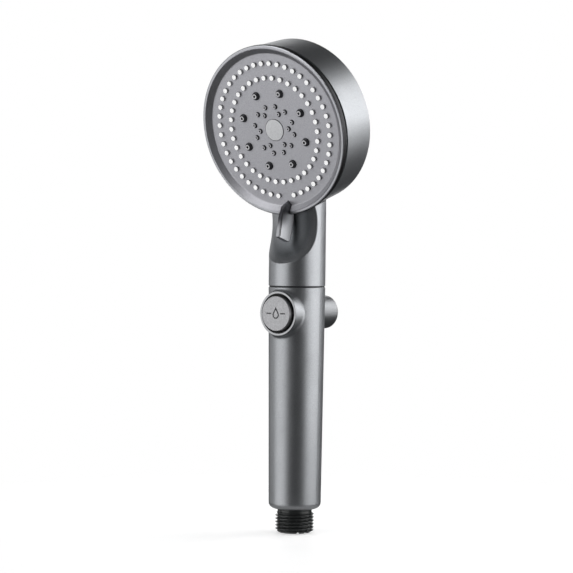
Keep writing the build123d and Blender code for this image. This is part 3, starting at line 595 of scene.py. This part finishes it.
# half of the line's width
STROKE = 0.3
DROP_R = 1.75
DROP_LOW_Y = -0.75
DROP_TIP_Y = 2.9
BAR_AT = 4.6
BAR_HALF = 1.3


def drop_distance(x, y):
    """Signed distance to a water drop: a circle and the triangle that points it."""
    half_angle = math.asin(DROP_R / (DROP_TIP_Y - DROP_LOW_Y))
    round_end = math.hypot(x, y - DROP_LOW_Y) - DROP_R
    side = abs(x) * math.cos(half_angle) + (y - DROP_TIP_Y) * math.sin(half_angle)
    base = DROP_LOW_Y + DROP_R * math.sin(half_angle) - y
    return min(round_end, max(side, base))


def bar_distance(x, y):
    """Signed distance to the two bars beside the drop."""
    return math.hypot(max(0.0, abs(abs(x) - BAR_AT) - BAR_HALF), y) - STROKE


def engraving(x, y):
    """Depth of the engraving from 0 to 1."""
    distance = min(abs(drop_distance(x, y)) - STROKE, bar_distance(x, y))
    return clamped(0.5 - distance / ENGRAVED_SLOPE)


def button():
    bm = bmesh.new()
    flat_r = BUTTON_R - BUTTON_EDGE
    inner_r = BUTTON_R - BUTTON_WALL
    profile = [(flat_r * k / BUTTON_ROWS, BUTTON_FRONT) for k in range(BUTTON_ROWS + 1)]
    profile += arc_points((flat_r, BUTTON_FRONT - BUTTON_EDGE), BUTTON_EDGE, 75, 0, 5)
    profile += [(BUTTON_R, BUTTON_BACK), (inner_r, BUTTON_BACK), (inner_r, BUTTON_SKIN_BACK)]
    profile += [(STEM_R, BUTTON_SKIN_BACK), (STEM_R, STEM_END), (STEM_BORE_R, STEM_END)]
    profile += [(STEM_BORE_R, STEM_BORE_END), (0, STEM_BORE_END)]
    for vert in lathe(bm, profile, BUTTON_SEGMENTS):
        if vert.co.z > BUTTON_FRONT - ON_FRONT:
            vert.co.z -= ENGRAVED_DEPTH * engraving(vert.co.x, vert.co.y)
    # faces in the engraving's floor get its dark finish
    for face in bm.faces:
        at = face.calc_center_median()
        sunk = BUTTON_FRONT - BUTTON_EDGE < at.z < BUTTON_FRONT - 0.5 * ENGRAVED_DEPTH
        face.material_index = int(sunk and math.hypot(at.x, at.y) < flat_r - ENGRAVED_MARGIN)
    piece = add_piece(
        "button_cap", bm, VALVE, finish["button_silver"], "stop_valve",
        ["stop_button"],
    )
    piece.data.materials.append(finish["engraved"])


button()

# ---- hose thread -----------------------------------------------------------------------------

THREAD_PITCH = 1.814
CREST_R = 10.46
ROOT_R = 9.32
THREAD_END_Z = 11.9
THREAD_SEGMENTS = 240
ROWS_PER_TURN = 16
# the flank's foot and width, as shares of half a pitch, and how much of it is rounded
FLANK_FOOT = 0.88
FLANK_WIDTH = 0.62
FLANK_ROUNDING = 0.35
LEAD_IN = 0.55
LEAD_IN_H = 0.6
# heights over which the ridge grows at the thread's start and fades at its end
RIDGE_START = (0.35, 0.9)
RIDGE_END = (0.5, 1.2)
UNDERCUT_END_Z = 12.2
COLLAR_R = 9.9
COLLAR_Z = 12.6
COLLAR_TOP_Z = 18.0
BORE_R = 7.4
BORE_EDGE = 0.4
# V notches in the spout's end: azimuth in degrees, half width, height
END_NOTCHES = ((-41.3, 0.9, 1.5), (138.7, 0.9, 1.5), (-9.3, 1.4, 2.5), (170.7, 1.4, 2.5))
# just over the notches: points above it aren't moved
NOTCHED_BELOW_Z = 3


def thread_ridge(turns):
    """Height of a Whitworth-like ridge, from 0 to 1, at a place along the thread in turns."""
    flank = clamped((FLANK_FOOT - abs((turns % 1.0) - 0.5) * 2) / FLANK_WIDTH)
    smooth = flank * flank * (3 - 2 * flank)
    return smooth * FLANK_ROUNDING + flank * (1 - FLANK_ROUNDING)


def thread_radius(z, turn):
    """Radius of the thread at a height, and at a turn from 0 to 1 round the spout."""
    start = clamped((z - RIDGE_START[0]) / RIDGE_START[1])
    end = clamped((THREAD_END_Z - RIDGE_END[0] - z) / RIDGE_END[1])
    root = ROOT_R - LEAD_IN * max(0.0, 1 - z / LEAD_IN_H)
    return root + (CREST_R - ROOT_R) * thread_ridge(z / THREAD_PITCH - turn) * start * end


def notch_height(azimuth):
    """Height of the spout's end over z 0 at an azimuth in radians."""
    height = 0.0
    for notch_azimuth, half, depth in END_NOTCHES:
        turn = math.degrees(azimuth) - notch_azimuth
        turn = math.radians((turn + 180) % 360 - 180)
        height = max(height, depth * (1 - abs(turn) * ROOT_R / half))
    return height


def hose_thread():
    bm = bmesh.new()
    rows = int(THREAD_END_Z / THREAD_PITCH * ROWS_PER_TURN)
    grid = []
    for k in range(rows + 1):
        z = THREAD_END_Z * k / rows
        row = []
        for i in range(THREAD_SEGMENTS):
            a = 2 * math.pi * i / THREAD_SEGMENTS
            radius = thread_radius(z, i / THREAD_SEGMENTS)
            row.append(bm.verts.new((radius * math.cos(a), radius * math.sin(a), z)))
        grid.append(row)
    for low, high in zip(grid, grid[1:]):
        for i in range(THREAD_SEGMENTS):
            j = (i + 1) % THREAD_SEGMENTS
            bm.faces.new((low[i], low[j], high[j], high[i]))
    # the rest of the spout: the collar above the thread, and the bore inside
    rest = [(ROOT_R, THREAD_END_Z), (ROOT_R, UNDERCUT_END_Z)]
    rest += [(COLLAR_R, COLLAR_Z), (COLLAR_R, COLLAR_TOP_Z)]
    rest += [(BORE_R, COLLAR_TOP_Z), (BORE_R, BORE_EDGE)]
    rest += arc_points((BORE_R + BORE_EDGE, BORE_EDGE), BORE_EDGE, 180, 270, 4)
    rest += [(ROOT_R - LEAD_IN, 0)]
    lathe(bm, rest, THREAD_SEGMENTS)
    for vert in bm.verts:
        if vert.co.z < NOTCHED_BELOW_Z:
            vert.co.z = max(vert.co.z, notch_height(math.atan2(vert.co.y, vert.co.x)))
    add_piece(
        "hose_thread", bm, Matrix.Identity(4), finish["black_gloss"], "handle",
        ["inlet_connector"], sharp=40,
    )


hose_thread()

# ---- floor and backdrop, in metres -----------------------------------------------------------

FLOOR_R = 1.2
FLOOR_Z = -0.0004
FLOOR_COLOUR = (0.9, 0.9, 0.9, 1)
FLOOR_ROUGHNESS = 0.7
FLOOR_GLOW = 0.5
FLOOR_FADE = (0.02, 0.3)
PATCH_R = 0.045
PATCH_Z = -0.0002
PATCH_GLOW = 0.4
BACKDROP_R = 6.0
BLACK = (0, 0, 0, 1)
WHITE = (1, 1, 1, 1)


def disc(radius, segments):
    bm = bmesh.new()
    bmesh.ops.create_circle(bm, cap_ends=True, segments=segments, radius=radius)
    return bm


def set_piece(name, bm, material, height=0.0, unseen_by=()):
    """An object for the set, which the named kinds of ray pass through."""
    mesh = bpy.data.meshes.new(name)
    bm.to_mesh(mesh)
    bm.free()
    mesh.materials.append(material)
    item = bpy.data.objects.new(name, mesh)
    item.location.z = height
    bpy.context.scene.collection.objects.link(item)
    for ray in unseen_by:
        setattr(item, "visible_" + ray, False)
    return item


def glowing(name, base, strength):
    """A material with a plain colour that also gives off white light."""
    material, tree, bsdf = new_material(name)
    bsdf.inputs["Base Color"].default_value = base
    bsdf.inputs["Emission Color"].default_value = WHITE
    bsdf.inputs["Emission Strength"].default_value = strength
    return material, tree, bsdf


# the floor fades into the backdrop away from the object
floor_material, tree, bsdf = glowing("pale_floor", FLOOR_COLOUR, FLOOR_GLOW)
bsdf.inputs["Roughness"].default_value = FLOOR_ROUGHNESS
fade = map_range(tree, vector_math(tree, "LENGTH", object_coords(tree)), FLOOR_FADE, smooth=True)
clear = tree.nodes.new("ShaderNodeBsdfTransparent")
mix = tree.nodes.new("ShaderNodeMixShader")
tree.links.new(fade, mix.inputs["Fac"])
tree.links.new(bsdf.outputs["BSDF"], mix.inputs[1])
tree.links.new(clear.outputs["BSDF"], mix.inputs[2])
tree.links.new(mix.outputs["Shader"], tree.nodes["Material Output"].inputs["Surface"])
floor = set_piece("floor", disc(FLOOR_R, 96), floor_material, FLOOR_Z, ("glossy",))

# a bright patch that only reflections see: it lights the round-over at the grip's lower end
patch_material = glowing("patch_glow", BLACK, PATCH_GLOW)[0]
patch_hidden = ("camera", "diffuse", "transmission", "shadow")
patch = set_piece("floor_patch", disc(PATCH_R, 64), patch_material, PATCH_Z, patch_hidden)

backdrop_material = bpy.data.materials.new("pale_backdrop")
backdrop_material.use_nodes = True
tree = backdrop_material.node_tree
tree.nodes.clear()
glow = tree.nodes.new("ShaderNodeEmission")
glow.inputs["Color"].default_value = WHITE
glow.inputs["Strength"].default_value = 1.0
out = tree.nodes.new("ShaderNodeOutputMaterial")
tree.links.new(glow.outputs["Emission"], out.inputs["Surface"])
sphere = bmesh.new()
bmesh.ops.create_uvsphere(sphere, u_segments=32, v_segments=16, radius=BACKDROP_R)
backdrop_hidden = ("diffuse", "glossy", "transmission", "shadow")
backdrop = set_piece("backdrop", sphere, backdrop_material, unseen_by=backdrop_hidden)

# ---- lights ----------------------------------------------------------------------------------

WORLD_COLOUR = (0.95, 0.97, 1.0, 1)
WORLD_STRENGTH = 0.055
LIGHTS_AIM = Vector((0, 0, 0.14))

world = bpy.data.worlds.new("studio")
bpy.context.scene.world = world
world.use_nodes = True
background = world.node_tree.nodes["Background"]
background.inputs["Color"].default_value = WORLD_COLOUR
background.inputs["Strength"].default_value = WORLD_STRENGTH


def softbox(name, azimuth, elevation, distance, width, height, power):
    """A rectangular lamp aimed at the object.

    Angles are in degrees, azimuth from +X towards +Y, sizes in metres and power in watts.
    """
    lamp_data = bpy.data.lights.new(name, "AREA")
    lamp_data.shape = "RECTANGLE"
    lamp_data.size = width
    lamp_data.size_y = height
    lamp_data.energy = power
    lamp = bpy.data.objects.new(name, lamp_data)
    a, e = math.radians(azimuth), math.radians(elevation)
    way = Vector((math.cos(e) * math.cos(a), math.cos(e) * math.sin(a), math.sin(e)))
    lamp.location = LIGHTS_AIM + way * distance
    lamp.rotation_euler = way.to_track_quat("Z", "Y").to_euler()
    lamp.visible_camera = False
    bpy.context.scene.collection.objects.link(lamp)
    return lamp


def light_only(lamp, *names):
    """Let a lamp light only some nodes."""
    receivers = bpy.data.collections.new(lamp.name + "_receivers")
    for name in names:
        receivers.objects.link(nodes[name])
    lamp.light_linking.receiver_collection = receivers


softbox("right_box", 22, 1, 0.9, 1.15, 0.50, 4.6)
softbox("drum_box", 62, 26, 0.9, 0.66, 0.52, 3.2)
softbox("left_box", -122, 4, 0.9, 1.0, 1.2, 6.0)
softbox("back_box", 130, 12, 0.9, 0.5, 0.9, 2.4)
softbox("side_box", 182, 8, 0.9, 0.5, 0.9, 0.8)
softbox("top_box", -60, 75, 1.0, 0.8, 0.8, 1.5).visible_glossy = False
# lights the lower slope of the spray plate
light_only(softbox("slope_box", -105, 43, 0.9, 0.55, 0.4, 3.0), "face_plate", "face_ring")

# ---- camera at the photograph's angle, in metres ---------------------------------------------

YAW, PITCH, ROLL = math.radians(36.67), math.radians(1.34), math.radians(0.61)
LENS_MM = 124.0
SENSOR_MM = 36.0
STAND_OFF = 1.0749
SIDE_SHIFT = -0.0057
AIM_Z = 0.13393

level = math.cos(PITCH)
back = Vector((math.sin(YAW) * level, -math.cos(YAW) * level, math.sin(PITCH)))
right = Vector((math.cos(YAW), math.sin(YAW), 0))
up = back.cross(right)
rolled_right = right * math.cos(ROLL) + up * math.sin(ROLL)
rolled_up = up * math.cos(ROLL) - right * math.sin(ROLL)
camera_data = bpy.data.cameras.new("camera")
camera_data.lens = LENS_MM
camera_data.sensor_width = SENSOR_MM
camera = bpy.data.objects.new("camera", camera_data)
camera_at = Vector((0, 0, AIM_Z)) + back * STAND_OFF + rolled_right * SIDE_SHIFT
camera.matrix_world = frame_matrix(rolled_right, rolled_up, back, camera_at)
bpy.context.scene.collection.objects.link(camera)
bpy.context.scene.camera = camera
bpy.context.scene.view_settings.view_transform = "Standard"
